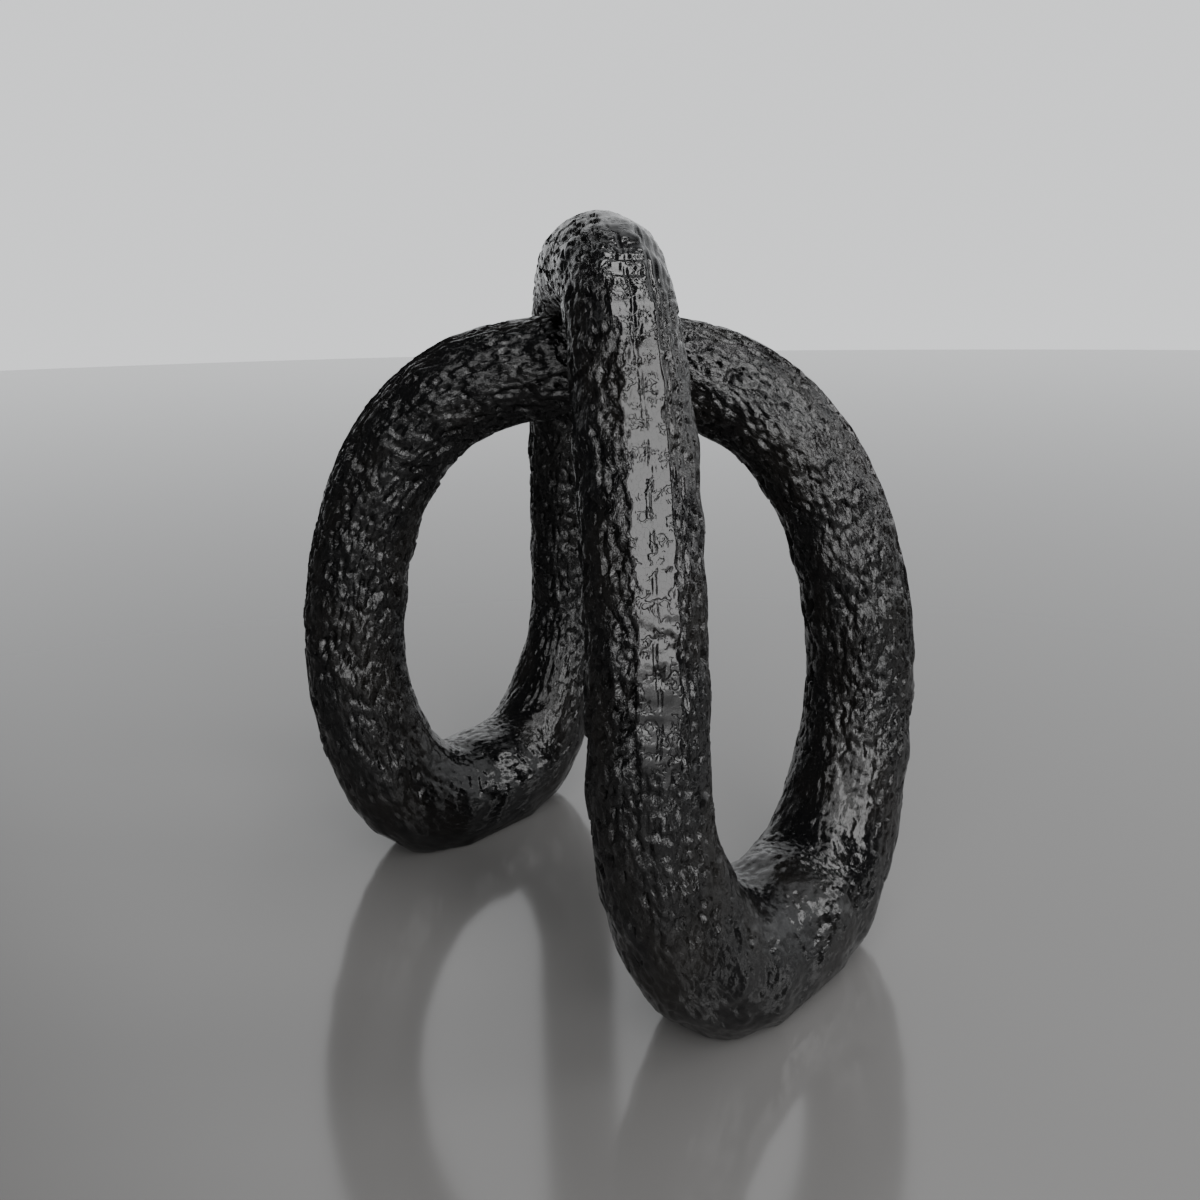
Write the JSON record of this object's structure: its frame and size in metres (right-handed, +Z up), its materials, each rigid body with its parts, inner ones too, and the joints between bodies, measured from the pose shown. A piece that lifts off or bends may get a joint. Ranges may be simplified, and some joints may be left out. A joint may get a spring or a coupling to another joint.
{
  "type": "infinity sculpture",
  "caption": "Free-standing table sculpture: a thick stippled round bar in a closed figure-of-eight loop, bent into two crossing arches that stand on two flat-soled feet.",
  "frame": {"origin": "on the table, in the middle of the four legs", "axes": "+Z up; X joins the middles of the two feet, with the front foot at +X; Y runs along the feet; the tall arch spans from the leg at +X -Y to the leg at -X +Y"},
  "size_m": [0.2484, 0.1892, 0.3167],
  "materials": {
    "lacquered_casting": "stone-filled casting resin under glossy black lacquer, coarsely stippled",
    "bright_steel": "ground stainless dowel pin",
    "black_felt": "pressed felt"
  },
  "bodies": {
    "root": {"tall_arch": "lacquered_casting", "low_arch": "lacquered_casting", "front_foot": "lacquered_casting", "rear_foot": "lacquered_casting", "crossing_pin": "bright_steel", "front_tall_leg_inner_pin": "bright_steel", "front_tall_leg_outer_pin": "bright_steel", "front_low_leg_inner_pin": "bright_steel", "front_low_leg_outer_pin": "bright_steel", "rear_tall_leg_inner_pin": "bright_steel", "rear_tall_leg_outer_pin": "bright_steel", "rear_low_leg_inner_pin": "bright_steel", "rear_low_leg_outer_pin": "bright_steel", "front_foot_pad_1": "black_felt", "front_foot_pad_2": "black_felt", "rear_foot_pad_1": "black_felt", "rear_foot_pad_2": "black_felt"}
  },
  "joints": []
}
